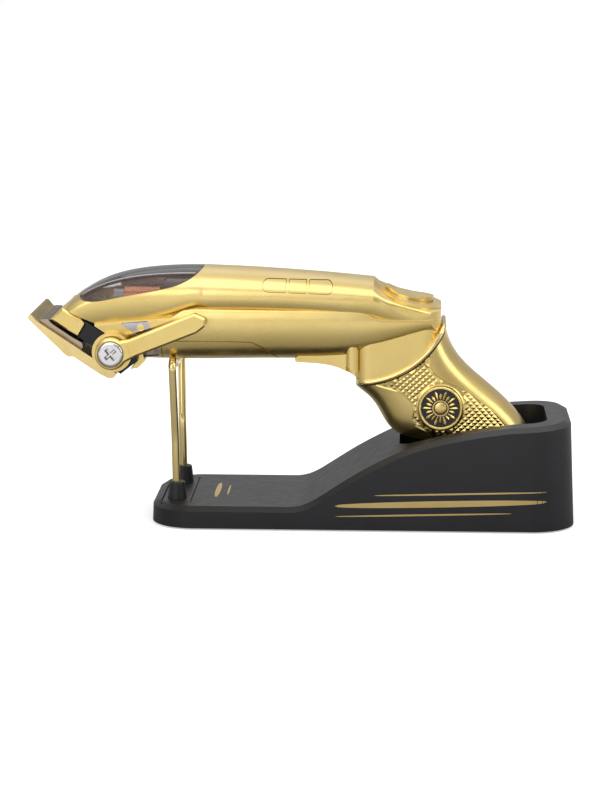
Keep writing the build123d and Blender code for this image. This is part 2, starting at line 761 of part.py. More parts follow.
with BuildPart() as belly_cover:
    add(bottom_solid(SEAM_DEPTH))
    add(bottom_solid(WALL), mode=Mode.SUBTRACT)
    add(belly_region(0), mode=Mode.INTERSECT)
    add(belly_skin.part)
    add(chin, mode=Mode.SUBTRACT)
export(belly_cover, "belly_cover")

# Finger rest: a thin blade under the belly that thickens towards the pins.
with BuildPart() as finger_rest:
    with BuildSketch(Plane.XZ):
        with BuildLine():
            under = Spline((-2.8, 66.6), (6.7, 66.0), (13.0, 64.9), (18.5, 62.6), (COLLAR_FRONT - 0.02, 60.3))
            Polyline([
                under @ 1, (COLLAR_FRONT - 0.02, 71), (11, 71), (-1.5, 69.2), (-3.2, 68.2), under @ 0,
            ])
        make_face()
    extrude(amount=14, both=True)
    fillet(finger_rest.edges().group_by(Axis.X)[0], 0.8)
    add(bottom_solid(-0.01), mode=Mode.SUBTRACT)
    add(guard_pin_wells, mode=Mode.SUBTRACT)
export(finger_rest, "finger_rest")

with BuildPart() as guard_pins:
    for side in (-1, 1):
        with BuildSketch(Plane.XY.offset(GUARD_PIN_BOTTOM)):
            with Locations((GUARD_PIN_X, side * GUARD_PIN_Y)):
                Circle(GUARD_PIN_RADIUS)
        extrude(amount=GUARD_PIN_TOP - GUARD_PIN_BOTTOM)
    fillet(guard_pins.edges().group_by(Axis.Z)[-1], 0.4)
    with BuildSketch(Plane.XZ):
        with BuildLine():
            Polyline((10, 50), (30, 50), (30, 60.0), (GUARD_PIN_X, 64.0), (10, 68.6), close=True)
        make_face()
    extrude(amount=30, both=True, mode=Mode.SUBTRACT)
export(guard_pins, "guard_pins")


# ---------------------------------------------------------------- grip
rim_plan = plan_prism(COLLAR_FRONT, 59.1, COLLAR_HALF_WIDTH + 0.8, 6, 7.6, 50, RIM_TOP)
with BuildPart() as grip_rim:
    add(rim_plan)
    add(rim_outer_disc, mode=Mode.INTERSECT)
    add(rim_inner_disc, mode=Mode.SUBTRACT)
    add(collar_hollow, mode=Mode.SUBTRACT)
export(grip_rim, "grip_rim")

with BuildPart() as charge_contacts:
    for side in (-1, 1):
        x, z = grip_point(57.3, 14)
        with BuildSketch(Plane(origin=(x, 3.5 * side, z), z_dir=grip_up)):
            Circle(1.8)
        extrude(amount=2.6)
export(charge_contacts, "charge_contacts")

with BuildPart() as grip_shell:
    add(grip_solid(0))
    with BuildSketch(Plane.XZ):
        with Locations((30, RIM_TOP + 20)):
            Rectangle(90, 40)
        with Locations((COLLAR_FRONT - 20, 70)):
            Rectangle(40, 60)
    extrude(amount=40, both=True, mode=Mode.SUBTRACT)
    add(rim_outer_disc, mode=Mode.SUBTRACT)
    add(grip_cavity.part, mode=Mode.SUBTRACT)
    add(charge_contacts.part, mode=Mode.SUBTRACT)
export(grip_shell, "grip_shell")

KNURL_FRONT = [
    (25, 62), (27, 58.6), (31.1, 57), (38.9, 55), (42.4, 53), (44.8, 50.5), (45.7, 47.4), (45.1, 44),
    (46.4, 40.7), (50.5, 38.4), (58, 33),
]
KNURL_BACK = [(80, 33), (86, 38.4), (76.9, 48.5), (70.7, 53.7), (64.6, 57.1), (58.4, 59.8),
              (54.3, 62.9), (52.3, 66.4), (52.2, 69.1), (52, 76)]
with BuildPart() as grip_panels:
    add(grip_solid(-KNURL_HEIGHT))
    add(side_prism(KNURL_FRONT + KNURL_BACK, 30), mode=Mode.INTERSECT)
    add(grip_solid(0), mode=Mode.SUBTRACT)
    add(cross_rod(*RIM_CENTRE, RIM_OUTER + 0.3, -40, 40), mode=Mode.SUBTRACT)
    add(cross_rod(*EMBLEM_CENTRE, EMBLEM_RADIUS + 0.3, -40, 40), mode=Mode.SUBTRACT)
    with BuildSketch(Plane.XZ):
        with Locations((60, 50)):
            Rectangle(90, 60)
    extrude(amount=10, both=True, mode=Mode.SUBTRACT)

with BuildPart() as grip_panel_left:
    add(grip_panels.part)
    split(bisect_by=Plane.XZ, keep=Keep.TOP)
export(grip_panel_left, "grip_panel_left")

with BuildPart() as grip_panel_right:
    add(grip_panels.part)
    split(bisect_by=Plane.XZ, keep=Keep.BOTTOM)
export(grip_panel_right, "grip_panel_right")

with BuildPart() as grip_emblems:
    add(cross_rod(*EMBLEM_CENTRE, EMBLEM_RADIUS, -EMBLEM_OUTER, EMBLEM_OUTER))
    add(grip_solid(0), mode=Mode.SUBTRACT)
export(grip_emblems, "grip_emblems")


# ---------------------------------------------------------------- clipper controls and details
with BuildPart() as power_button:
    with BuildSketch(button_plane.offset(-BUTTON_DEPTH)):
        Ellipse((BUTTON_REAR - BUTTON_FRONT) / 2, BUTTON_HALF_WIDTH)
    extrude(amount=14)
    with BuildSketch(Plane.XZ):
        with BuildLine():
            crest = Spline((30, 101.5), (34.2, 97.6), (39.6, 94.4), (43.8, 93.3), (48, 92.8), (56, 92.4))
            Polyline([crest @ 1, (56, 80), (30, 80), crest @ 0])
        make_face()
    extrude(amount=30, both=True, mode=Mode.INTERSECT)
    with BuildSketch(button_plane.offset(-BUTTON_DEPTH)):
        Circle(2.2)
    extrude(amount=-1.5)
export(power_button, "power_button")

with BuildPart() as power_switch:
    with BuildSketch(button_plane.offset(-BUTTON_DEPTH - 1.5 - BUTTON_TRAVEL - 0.15 - 3.6)):
        Rectangle(6.2, 6.2)
    extrude(amount=3.6)
export(power_switch, "power_switch")

with BuildPart() as control_board:
    with BuildSketch(button_plane.offset(-BUTTON_DEPTH - 1.5 - BUTTON_TRAVEL - 0.15 - 3.6)):
        with Locations((-11, 0)):
            Rectangle(40, 24)
    extrude(amount=-1.6)
export(control_board, "control_board")

with BuildPart() as indicator_bars:
    add(top_solid(-0.15))
    add(top_solid(0.9), mode=Mode.SUBTRACT)
    add(indicator_pill(0), mode=Mode.INTERSECT)
export(indicator_bars, "indicator_bars")


# ---------------------------------------------------------------- blade head
with BuildPart() as mechanism_space:
    with BuildSketch(Plane.XZ):
        with BuildLine():
            Polyline(
                blade_points([(9, 2.3), (40.4, 2.3), (40.4, 16), (26, 16), (26, 22), (9, 9)]), close=True
            )
        make_face()
    extrude(amount=11.5, both=True)

with BuildPart() as nose_cap:
    with BuildSketch(Plane.XZ):
        with BuildLine():
            Polyline(
                [*blade_points([(5.6, 2.9), (8.2, 3.1), (14.5, 3.1), (19.0, 3.5), (18.7, 9.6), (15.4, 10.8)]),
                 (-91.0, 85.4), (-94.8, 87.1), (-97.8, 89.1), (-100.2, 86.6)],
                close=True,
            )
        make_face()
    extrude(amount=19.8, both=True)
    chamfer(nose_cap.edges().filter_by(lambda edge: abs(abs(edge.center().Y) - 19.8) < 0.01), 0.7)
    add(side_prism(blade_points([(13.8, 3.6), (18.6, 3.9), (18.3, 9.2), (13.3, 8.7)]), 20.2))
    add(mechanism_space.part, mode=Mode.SUBTRACT)
export(nose_cap, "nose_cap")

with BuildPart() as blade_bracket:
    add(side_prism(BRACKET_OUTLINE, 19.6))
    add(nose_cap.part, mode=Mode.SUBTRACT)
    add(mechanism_space.part, mode=Mode.SUBTRACT)
    add(cross_rod(*PIVOT, SHAFT_RADIUS + 0.3, -22, 0), mode=Mode.SUBTRACT)
    with BuildSketch(blade_plane):
        with Locations((BLADE_SCREW_B, -BLADE_SCREW_Y), (BLADE_SCREW_B, BLADE_SCREW_Y)):
            Circle(1.5)
    extrude(amount=4, mode=Mode.SUBTRACT)
export(blade_bracket, "blade_bracket")

tooth_pitch = 2 * (BLADE_HALF_WIDTH - 1.5) / FIXED_TEETH
with BuildPart() as fixed_blade:
    with BuildSketch(Plane.XZ):
        with BuildLine():
            Polyline(
                blade_points([
                    (-2.2, 0.6), (-1.2, 0.9), (1.6, 0.0), (BLADE_LENGTH - 0.4, 0.0),
                    (BLADE_LENGTH, -0.6), (BLADE_LENGTH - 0.3, -2.2), (38.6, -3.5), (35, -3.9),
                    (22, -3.9), (20.4, -5.0), (18.8, -5.1), (-2.3, -1.0),
                ]),
                close=True,
            )
        make_face()
    extrude(amount=BLADE_HALF_WIDTH, both=True)
    with BuildSketch(blade_plane.offset(-7)):
        with Locations(*[
            (TOOTH_LENGTH / 2 - 2.6, tooth_pitch * (i - (FIXED_TEETH - 1) / 2)) for i in range(FIXED_TEETH)
        ]):
            Rectangle(TOOTH_LENGTH, tooth_pitch * 0.42)
    extrude(amount=12, mode=Mode.SUBTRACT)
    with BuildSketch(blade_plane.offset(-6)):
        with Locations((BLADE_SCREW_B, -BLADE_SCREW_Y), (BLADE_SCREW_B, BLADE_SCREW_Y)):
            Circle(1.6)
    extrude(amount=8, mode=Mode.SUBTRACT)
    with BuildSketch(blade_plane.offset(-4.5)):
        with Locations((BLADE_SCREW_B, -BLADE_SCREW_Y), (BLADE_SCREW_B, BLADE_SCREW_Y)):
            Circle(3.1)
    extrude(amount=2.2, mode=Mode.SUBTRACT)
export(fixed_blade, "fixed_blade")

with BuildPart() as blade_screws:
    screw_places = [(BLADE_SCREW_B, -BLADE_SCREW_Y), (BLADE_SCREW_B, BLADE_SCREW_Y)]
    with BuildSketch(blade_plane.offset(-3.7)):
        with Locations(*screw_places):
            Circle(2.8)
    extrude(amount=1.3)
    with BuildSketch(blade_plane.offset(-2.5)):
        with Locations(*screw_places):
            Circle(1.45)
    extrude(amount=6.2)
    with BuildSketch(blade_plane.offset(-3.8)):
        with Locations(*screw_places):
            Rectangle(3.4, 0.7)
            Rectangle(0.7, 3.4)
    extrude(amount=0.8, mode=Mode.SUBTRACT)
export(blade_screws, "blade_screws")

cutter_pitch = 2 * (CUTTER_HALF_WIDTH - 1.0) / CUTTER_TEETH
with BuildPart() as cutter_blade:
    with BuildSketch(Plane.XZ):
        with BuildLine():
            Polyline(
                blade_points([
                    (CUTTER_FRONT, CUTTER_GAP), (CUTTER_REAR, CUTTER_GAP), (CUTTER_REAR, 0.9),
                    (21.8, CUTTER_THICKNESS), (16.0, 1.9), (7.4, 2.0), (5.0, 2.5), (CUTTER_FRONT, 0.9),
                ]),
                close=True,
            )
        make_face()
    extrude(amount=CUTTER_HALF_WIDTH, both=True)
    with BuildSketch(blade_plane.offset(-1)):
        with Locations(*[
            (CUTTER_FRONT + 1.5, cutter_pitch * (i - (CUTTER_TEETH - 1) / 2)) for i in range(CUTTER_TEETH)
        ]):
            Rectangle(5.0, cutter_pitch * 0.42)
    extrude(amount=5, mode=Mode.SUBTRACT)
    # The drive slot, long enough for the taper travel.
    with BuildSketch(blade_plane.offset(-1)):
        with Locations((DRIVE_B, 0)):
            Rectangle(2 * FINGER_RADIUS + 5.4, 2 * FINGER_RADIUS + 0.3)
    extrude(amount=5, mode=Mode.SUBTRACT)
export(cutter_blade, "cutter_blade")

# The carriage presses on the cutter; its tail is driven by the lever's crank pin.
with BuildPart() as cutter_carriage:
    with BuildSketch(blade_plane.offset(CUTTER_THICKNESS + 0.35)):
        with Locations((DRIVE_B, 0)):
            Rectangle(14, 20)
            Rectangle(2 * FINGER_RADIUS + 5.8, 2 * FINGER_RADIUS + 4.6, mode=Mode.SUBTRACT)
    extrude(amount=1.4)
    with BuildSketch(blade_plane.offset(CUTTER_THICKNESS + 0.35)):
        with Locations((29.0, -6.5)):
            Rectangle(17.0, 4.0)
    extrude(amount=1.4)
    with BuildSketch(Plane.XZ.offset(5.0)):
        with BuildLine():
            Polyline(blade_points([(30.4, 2.6), (37.5, 2.6), (37.5, 12.4), (30.4, 12.4)]), close=True)
        make_face()
    extrude(amount=3.0)
    with BuildSketch(Plane.XZ.offset(4.0)):
        with BuildLine():
            slot = [(crank_b - CRANK_PIN_RADIUS - 0.15, 5.2), (crank_b + CRANK_PIN_RADIUS + 0.15, 5.2)]
            slot += [(slot[1][0], 10.6), (slot[0][0], 10.6)]
            Polyline(blade_points(slot), close=True)
        make_face()
    extrude(amount=5.0, mode=Mode.SUBTRACT)
export(cutter_carriage, "cutter_carriage")

with BuildPart() as drive_finger:
    with BuildSketch(blade_plane.offset(0.5)):
        with Locations((DRIVE_B, 0)):
            Circle(FINGER_RADIUS)
    extrude(amount=13.5)


# ---------------------------------------------------------------- magnetic motor
def block(x0, x1, half_width, z0, z1, radius=0.0):
    """A block along the barrel, rounded along its length."""
    with BuildPart() as body:
        with BuildSketch(Plane(origin=(x0, 0, 0), x_dir=(0, 1, 0), z_dir=(1, 0, 0))):
            with Locations((0, (z0 + z1) / 2)):
                RectangleRounded(2 * half_width, z1 - z0, max(radius, 0.5))
        extrude(amount=x1 - x0)
    return body.part


with BuildPart() as armature:
    add(block(-90.0, -79.5, 7.0, 86.5, 89.6))
    add(drive_finger.part, mode=Mode.SUBTRACT)
export(armature, "armature")
export(drive_finger, "drive_finger")

with BuildPart() as armature_magnets:
    for side in (-1, 1):
        with BuildSketch(Plane(origin=(-79.5, side * 3.6, 88.05), x_dir=(0, 1, 0), z_dir=(1, 0, 0))):
            Rectangle(5.6, 2.8)
        extrude(amount=2.0)
export(armature_magnets, "armature_magnets")

with BuildPart() as armature_springs:
    for side in (-1, 1):
        with BuildSketch(Plane(origin=(-85.0, side * 8.9, 88.0), x_dir=(1, 0, 0), z_dir=(0, side, 0))):
            Circle(1.8)
            Circle(1.1, mode=Mode.SUBTRACT)
        extrude(amount=4.0)
export(armature_springs, "armature_springs")

with BuildPart() as motor_frame:
    add(block(-77.0, -47.0, 16.0, 81.0, 97.0, 4.0))
    add(block(-77.1, -70.0, 9.0, 80, 98), mode=Mode.SUBTRACT)
    add(block(-73.0, -58.0, 30.0, 70, 110), mode=Mode.SUBTRACT)
    add(block(-74.0, -50.0, 9.0, 84.0, 93.0, 1.0))
export(motor_frame, "motor_frame")

with BuildPart() as motor_coil:
    add(block(-72.7, -58.3, 16.6, 81.4, 98.2, 5.5))
    add(block(-75.0, -49.0, 9.05, 83.95, 93.05, 1.0), mode=Mode.SUBTRACT)
export(motor_coil, "motor_coil")

with BuildPart() as battery:
    x, z = grip_point(36, 2.5)
    with BuildSketch(Plane(origin=(x, 0, z), z_dir=grip_up)):
        Circle(9.0)
    extrude(amount=44)
    fillet(battery.edges().filter_by(GeomType.CIRCLE), 0.6)
export(battery, "battery")


# ---------------------------------------------------------------- taper lever
lever_dir = radians(LEVER_ANGLE)
with BuildPart() as taper_lever:
    lever_plane = Plane(
        origin=(PIVOT[0], LEVER_INNER_Y, PIVOT[1]),
        x_dir=(cos(lever_dir), 0, sin(lever_dir)),
        z_dir=(0, -1, 0),
    )
    with BuildSketch(lever_plane) as arm:
        with BuildLine():
            Polyline(
                (0, 4.6), (9, 3.0), (LEVER_LENGTH, 3.9), (LEVER_LENGTH + 3.4, 0.6),
                (LEVER_LENGTH + 2.2, -2.6), (LEVER_LENGTH - 2, -3.9), (9, -4.4), (0, -5.6), close=True,
            )
        make_face()
        fillet(arm.vertices().filter_by(lambda corner: corner.X > LEVER_LENGTH - 5), 1.2)
        Circle(HUB_RADIUS)
    extrude(amount=LEVER_INNER_Y - LEVER_OUTER_Y)
    chamfer(taper_lever.faces().sort_by(Axis.Y)[0].outer_wire().edges(), 0.8)
    with BuildSketch(lever_plane.offset(LEVER_INNER_Y - LEVER_OUTER_Y - LEVER_RECESS)):
        with BuildLine():
            Polyline(
                (7.6, 1.5), (LEVER_LENGTH - 0.4, 2.3), (LEVER_LENGTH + 1.7, 0.3),
                (LEVER_LENGTH + 1.0, -1.4), (LEVER_LENGTH - 2.4, -2.3), (7.6, -2.8), close=True,
            )
        make_face()
    extrude(amount=2, mode=Mode.SUBTRACT)
    with BuildSketch(lever_plane.offset(2.6)):
        Circle(LEVER_SCREW_RADIUS + 0.15)
    extrude(amount=5, mode=Mode.SUBTRACT)
    add(cross_rod(*PIVOT, SHAFT_RADIUS, -24.5, -9.5))
    add(cross_rod(*PIVOT, 4.4, -24.5, -22.4))
    crank = (
        PIVOT[0] + CRANK_RADIUS * sin(crank_start),
        PIVOT[1] + CRANK_RADIUS * cos(crank_start),
    )
    add(cross_rod(*crank, CRANK_PIN_RADIUS, -9.6, -4.6))
export(taper_lever, "taper_lever")

with BuildPart() as lever_screw:
    with BuildSketch(lever_plane.offset(2.6)):
        Circle(LEVER_SCREW_RADIUS)
    extrude(amount=1.9)
    fillet(lever_screw.edges().group_by(Axis.Y)[0], 1.2)
    with BuildSketch(lever_plane.offset(4.5)):
        with Locations(Rotation(0, 0, 20)):
            Rectangle(5.6, 1.6)
            Rectangle(1.6, 5.6)
    extrude(amount=-1.5, taper=22, mode=Mode.SUBTRACT)
export(lever_screw, "lever_screw")

# A plain cap closes the same pivot bore on the other side.
with BuildPart() as pivot_cap:
    add(cross_rod(*PIVOT, BOSS_RADIUS - 2.2, 22.0, 23.6))
    add(cross_rod(*PIVOT, SHAFT_RADIUS, 19.8, 22.1))
    chamfer(pivot_cap.edges().group_by(Axis.Y)[-1], 0.5)
export(pivot_cap, "pivot_cap")
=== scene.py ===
"""Looks of the hair clipper on its charging stand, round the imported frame. Metres, +Z up, near side -Y."""
import math

import bmesh
import bpy
import numpy as np
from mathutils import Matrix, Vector
from mathutils.bvhtree import BVHTree
from mathutils.geometry import delaunay_2d_cdt


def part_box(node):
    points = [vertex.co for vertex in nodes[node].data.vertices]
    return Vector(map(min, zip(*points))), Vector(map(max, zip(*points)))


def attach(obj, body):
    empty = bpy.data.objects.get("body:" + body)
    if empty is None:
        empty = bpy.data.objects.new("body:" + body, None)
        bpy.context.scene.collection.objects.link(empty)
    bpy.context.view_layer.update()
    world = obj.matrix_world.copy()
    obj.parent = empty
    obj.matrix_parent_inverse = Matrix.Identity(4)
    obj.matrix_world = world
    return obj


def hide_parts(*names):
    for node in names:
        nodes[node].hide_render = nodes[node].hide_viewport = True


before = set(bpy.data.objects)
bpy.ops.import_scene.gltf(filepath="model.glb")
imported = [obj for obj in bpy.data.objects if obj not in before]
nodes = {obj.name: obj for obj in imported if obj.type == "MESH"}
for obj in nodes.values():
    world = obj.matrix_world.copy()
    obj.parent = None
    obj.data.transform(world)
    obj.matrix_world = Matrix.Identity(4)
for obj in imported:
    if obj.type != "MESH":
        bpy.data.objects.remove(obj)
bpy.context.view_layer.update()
MM = 0.001


# ---- camera ------------------------------------------------------------------------------------
CAMERA_AZIMUTH = math.radians(2.8)
CAMERA_ELEVATION = math.radians(10.85)
CAMERA_DISTANCE = 1.001
CAMERA_TARGET = Vector((-0.00165, 0.0, 0.04805))
CAMERA_SENSOR = 36
CAMERA_LENS = 108

back = Vector((
    math.sin(CAMERA_AZIMUTH) * math.cos(CAMERA_ELEVATION),
    -math.cos(CAMERA_AZIMUTH) * math.cos(CAMERA_ELEVATION),
    math.sin(CAMERA_ELEVATION),
))
camera_data = bpy.data.cameras.new("camera")
camera_data.sensor_width = CAMERA_SENSOR
camera_data.lens = CAMERA_LENS
camera = bpy.data.objects.new("camera", camera_data)
camera.location = CAMERA_TARGET + back * CAMERA_DISTANCE
camera.rotation_mode = "QUATERNION"
camera.rotation_quaternion = (-back).to_track_quat("-Z", "Y")
bpy.context.scene.collection.objects.link(camera)
bpy.context.scene.camera = camera


# ---- light and floor ---------------------------------------------------------------------------
def area_light(name, place, aim, size, power):
    """A rectangular soft box at place, aimed at a point."""
    data = bpy.data.lights.new(name, "AREA")
    data.shape = "RECTANGLE"
    data.size, data.size_y = size
    data.energy = power
    lamp = bpy.data.objects.new(name, data)
    lamp.location = place
    lamp.rotation_mode = "QUATERNION"
    lamp.rotation_quaternion = (Vector(aim) - Vector(place)).to_track_quat("-Z", "Y")
    bpy.context.scene.collection.objects.link(lamp)


area_light("top_box", (0.0, -0.10, 1.1), (0, 0, 0.05), (1.6, 1.1), 5.5)
area_light("front_box", (-0.55, -1.25, 0.60), (0, 0, 0.06), (1.2, 0.9), 5.0)
area_light("right_box", (1.25, -0.35, 0.60), (0, 0, 0.06), (0.6, 0.8), 3.0)
area_light("back_box", (0.1, 1.15, 0.70), (0, 0, 0.06), (1.0, 0.5), 0.8)
bpy.context.scene.view_settings.view_transform = "Standard"

# Greys of the sky by height, from straight down to straight up.
SKY = ((0.0, 0.46), (0.25, 0.42), (0.50, 0.50), (0.78, 0.9))


def studio_world():
    """A sky that is grey in reflections and white where the camera looks at it."""
    world = bpy.data.worlds.new("studio")
    bpy.context.scene.world = world
    world.use_nodes = True
    sky_nodes, links = world.node_tree.nodes, world.node_tree.links
    background = sky_nodes["Background"]
    coordinates = sky_nodes.new("ShaderNodeTexCoord")
    split = sky_nodes.new("ShaderNodeSeparateXYZ")
    height = sky_nodes.new("ShaderNodeMapRange")
    height.inputs["From Min"].default_value = 0.0
    height.inputs["From Max"].default_value = 1.0
    ramp = sky_nodes.new("ShaderNodeValToRGB")
    stops = ramp.color_ramp.elements
    stops[0].position, stops[1].position = SKY[0][0], SKY[-1][0]
    for share, _ in SKY[1:-1]:
        stops.new(share)
    for stop, (_, grey) in zip(stops, SKY):
        stop.color = (grey, grey, grey, 1)
    light_path = sky_nodes.new("ShaderNodeLightPath")
    seen = sky_nodes.new("ShaderNodeMix")
    seen.data_type = "RGBA"
    seen.inputs["B"].default_value = (1, 1, 1, 1)
    links.new(coordinates.outputs["Generated"], split.inputs["Vector"])
    links.new(split.outputs["Z"], height.inputs["Value"])
    links.new(height.outputs["Result"], ramp.inputs["Fac"])
    links.new(ramp.outputs["Color"], seen.inputs["A"])
    links.new(light_path.outputs["Is Camera Ray"], seen.inputs["Factor"])
    links.new(seen.outputs["Result"], background.inputs["Color"])
    background.inputs["Strength"].default_value = 1.0


studio_world()


# ---- materials ---------------------------------------------------------------------------------
def surface(name, colour, metallic=0.0, roughness=0.5, **sockets):
    """A Principled material with its constant sockets set."""
    material = bpy.data.materials.new(name)
    material.use_nodes = True
    shader = shader_of(material)
    shader.inputs["Base Color"].default_value = (*colour, 1)
    shader.inputs["Metallic"].default_value = metallic
    shader.inputs["Roughness"].default_value = roughness
    for socket, value in sockets.items():
        shader.inputs[socket.replace("_", " ")].default_value = value
    return material


def shader_of(material):
    """A material's Principled shader."""
    return material.node_tree.nodes["Principled BSDF"]


def add_node(material, kind, **settings):
    """A new node, each setting going to its property or else to its input socket."""
    node = material.node_tree.nodes.new(kind)
    for key, value in settings.items():
        if hasattr(node, key):
            setattr(node, key, value)
        else:
            node.inputs[key.replace("_", " ")].default_value = value
    return node


def place(material, stretch=(1, 1, 1)):
    """Row-frame coordinates, stretched."""
    where = add_node(material, "ShaderNodeTexCoord")
    mapping = add_node(material, "ShaderNodeMapping", Scale=stretch)
    material.node_tree.links.new(where.outputs["Object"], mapping.inputs["Vector"])
    return mapping.outputs["Vector"]


def noise(material, scale, detail=3.0):
    """Noise in the row frame, at a scale per metre."""
    texture = add_node(material, "ShaderNodeTexNoise", Scale=scale, Detail=detail)
    material.node_tree.links.new(place(material), texture.inputs["Vector"])
    return texture.outputs["Fac"]


# The part of a noise's range that it really fills.
NOISE_LOW, NOISE_HIGH = 0.3, 0.7


def vary_roughness(material, fac, low, high):
    """Roughness that drifts between two values."""
    spread = add_node(
        material, "ShaderNodeMapRange", From_Min=NOISE_LOW, From_Max=NOISE_HIGH, To_Min=low, To_Max=high
    )
    links = material.node_tree.links
    links.new(fac, spread.inputs["Value"])
    links.new(spread.outputs["Result"], shader_of(material).inputs["Roughness"])


def vary_colour(material, fac, dark, light):
    """Base colour that drifts between two colours."""
    mix = add_node(material, "ShaderNodeMix", data_type="RGBA")
    mix.inputs["A"].default_value = (*dark, 1)
    mix.inputs["B"].default_value = (*light, 1)
    spread = add_node(material, "ShaderNodeMapRange", From_Min=NOISE_LOW, From_Max=NOISE_HIGH)
    links = material.node_tree.links
    links.new(fac, spread.inputs["Value"])
    links.new(spread.outputs["Result"], mix.inputs["Factor"])
    links.new(mix.outputs["Result"], shader_of(material).inputs["Base Color"])


def bump(material, fac, strength, distance):
    """Fine relief in the shading only."""
    node = add_node(material, "ShaderNodeBump", Strength=strength, Distance=distance)
    links = material.node_tree.links
    links.new(fac, node.inputs["Height"])
    links.new(node.outputs["Normal"], shader_of(material).inputs["Normal"])


PLATED_GRAIN_DEPTH = 0.04 * MM
MOULDED_GRAIN_DEPTH = 0.06 * MM


def plated(name, dark, light, low, high, grain=5200, strength=0.05, metallic=1.0, **sockets):
    """Plated metal: slow colour drift, cloudy roughness and a fine grain."""
    material = surface(name, light, metallic, (low + high) / 2, **sockets)
    vary_colour(material, noise(material, 38), dark, light)
    vary_roughness(material, noise(material, 170, 4), low, high)
    bump(material, noise(material, grain, 2), strength, PLATED_GRAIN_DEPTH)
    return material


def moulded(name, dark, light, low, high, grain=2600, strength=0.12, **sockets):
    """Moulded plastic: a faint mottle and a fine leather of the tool's surface."""
    material = surface(name, light, 0.0, (low + high) / 2, **sockets)
    vary_colour(material, noise(material, 60), dark, light)
    vary_roughness(material, noise(material, 240, 4), low, high)
    bump(material, noise(material, grain, 3), strength, MOULDED_GRAIN_DEPTH)
    return material


GOLD = (0.87, 0.67, 0.27)
GOLD_DEEP = (0.80, 0.60, 0.21)
satin_gold = plated("satin_gold", GOLD_DEEP, GOLD, 0.27, 0.33)
polished_gold = plated("polished_gold", (0.88, 0.67, 0.27), (0.93, 0.74, 0.34), 0.07, 0.12, strength=0.01)
knurl_gold = plated("knurl_gold", GOLD_DEEP, GOLD, 0.20, 0.27)
blade_gold = plated("blade_gold", (0.76, 0.58, 0.25), (0.84, 0.66, 0.31), 0.16, 0.24, strength=0.02)
contact_gold = plated("contact_gold", (0.85, 0.6, 0.25), (0.95, 0.72, 0.35), 0.12, 0.2)
emblem_gold = plated("emblem_gold", GOLD_DEEP, GOLD, 0.22, 0.3)
chrome = plated("chrome", (0.62, 0.61, 0.62), (0.76, 0.74, 0.74), 0.05, 0.11, strength=0.01)
steel = plated("steel", (0.55, 0.55, 0.56), (0.70, 0.70, 0.71), 0.20, 0.30)
plate_steel = plated(
    "plate_steel", (0.36, 0.35, 0.40), (0.66, 0.65, 0.70), 0.16, 0.26, grain=1500, strength=0.25
)
cutter_bronze = plated("cutter_bronze", (0.42, 0.34, 0.25), (0.52, 0.43, 0.33), 0.20, 0.28, strength=0.02)
motor_steel = plated("motor_steel", (0.34, 0.34, 0.36), (0.48, 0.48, 0.50), 0.30, 0.42)
magnet_grey = plated("magnet_grey", (0.20, 0.20, 0.21), (0.30, 0.30, 0.31), 0.32, 0.45, metallic=0.8)
fastener = plated("fastener", (0.40, 0.38, 0.36), (0.56, 0.53, 0.50), 0.18, 0.28)
copper = plated("copper", (0.62, 0.24, 0.13), (0.84, 0.38, 0.23), 0.22, 0.34)
stand_black = moulded(
    "stand_black", (0.007, 0.007, 0.009), (0.011, 0.011, 0.014), 0.36, 0.44,
    strength=0.06, Specular_IOR_Level=0.5,
)
base_black = moulded(
    "base_black", (0.010, 0.010, 0.011), (0.016, 0.016, 0.017), 0.5, 0.62,
    grain=1500, strength=0.3, Specular_IOR_Level=0.4,
)
bracket_black = moulded(
    "bracket_black", (0.004, 0.004, 0.006), (0.008, 0.008, 0.010), 0.26, 0.34,
    strength=0.06, Specular_IOR_Level=0.4,
)
socket_black = moulded("socket_black", (0.006, 0.006, 0.007), (0.012, 0.012, 0.013), 0.4, 0.5)
rubber = moulded("rubber", (0.014, 0.014, 0.014), (0.028, 0.028, 0.028), 0.75, 0.9, grain=1800, strength=0.4)
battery_wrap = moulded("battery_wrap", (0.02, 0.07, 0.16), (0.03, 0.10, 0.22), 0.25, 0.34)
board_green = moulded(
    "board_green", (0.006, 0.05, 0.02), (0.01, 0.085, 0.035), 0.3, 0.4, grain=900, strength=0.3
)
# Light grey for the thin lines on the window: the ridge is real, and its light colour is a painted highlight.
painted_highlight_grey = moulded("painted_highlight_grey", (0.42, 0.40, 0.42), (0.55, 0.53, 0.55), 0.25, 0.35)

# The smoked window's dark band ends this far out to each side. Clearer glass beyond it shows the motor.
CLEAR_FROM = 12.9 * MM
CLEAR_BLEND = 0.4 * MM
GLASS_DARK = (0.014, 0.010, 0.010)
GLASS_CLEAR = (0.20, 0.14, 0.12)
GLASS_DARK_ALPHA, GLASS_CLEAR_ALPHA = 0.965, 0.26


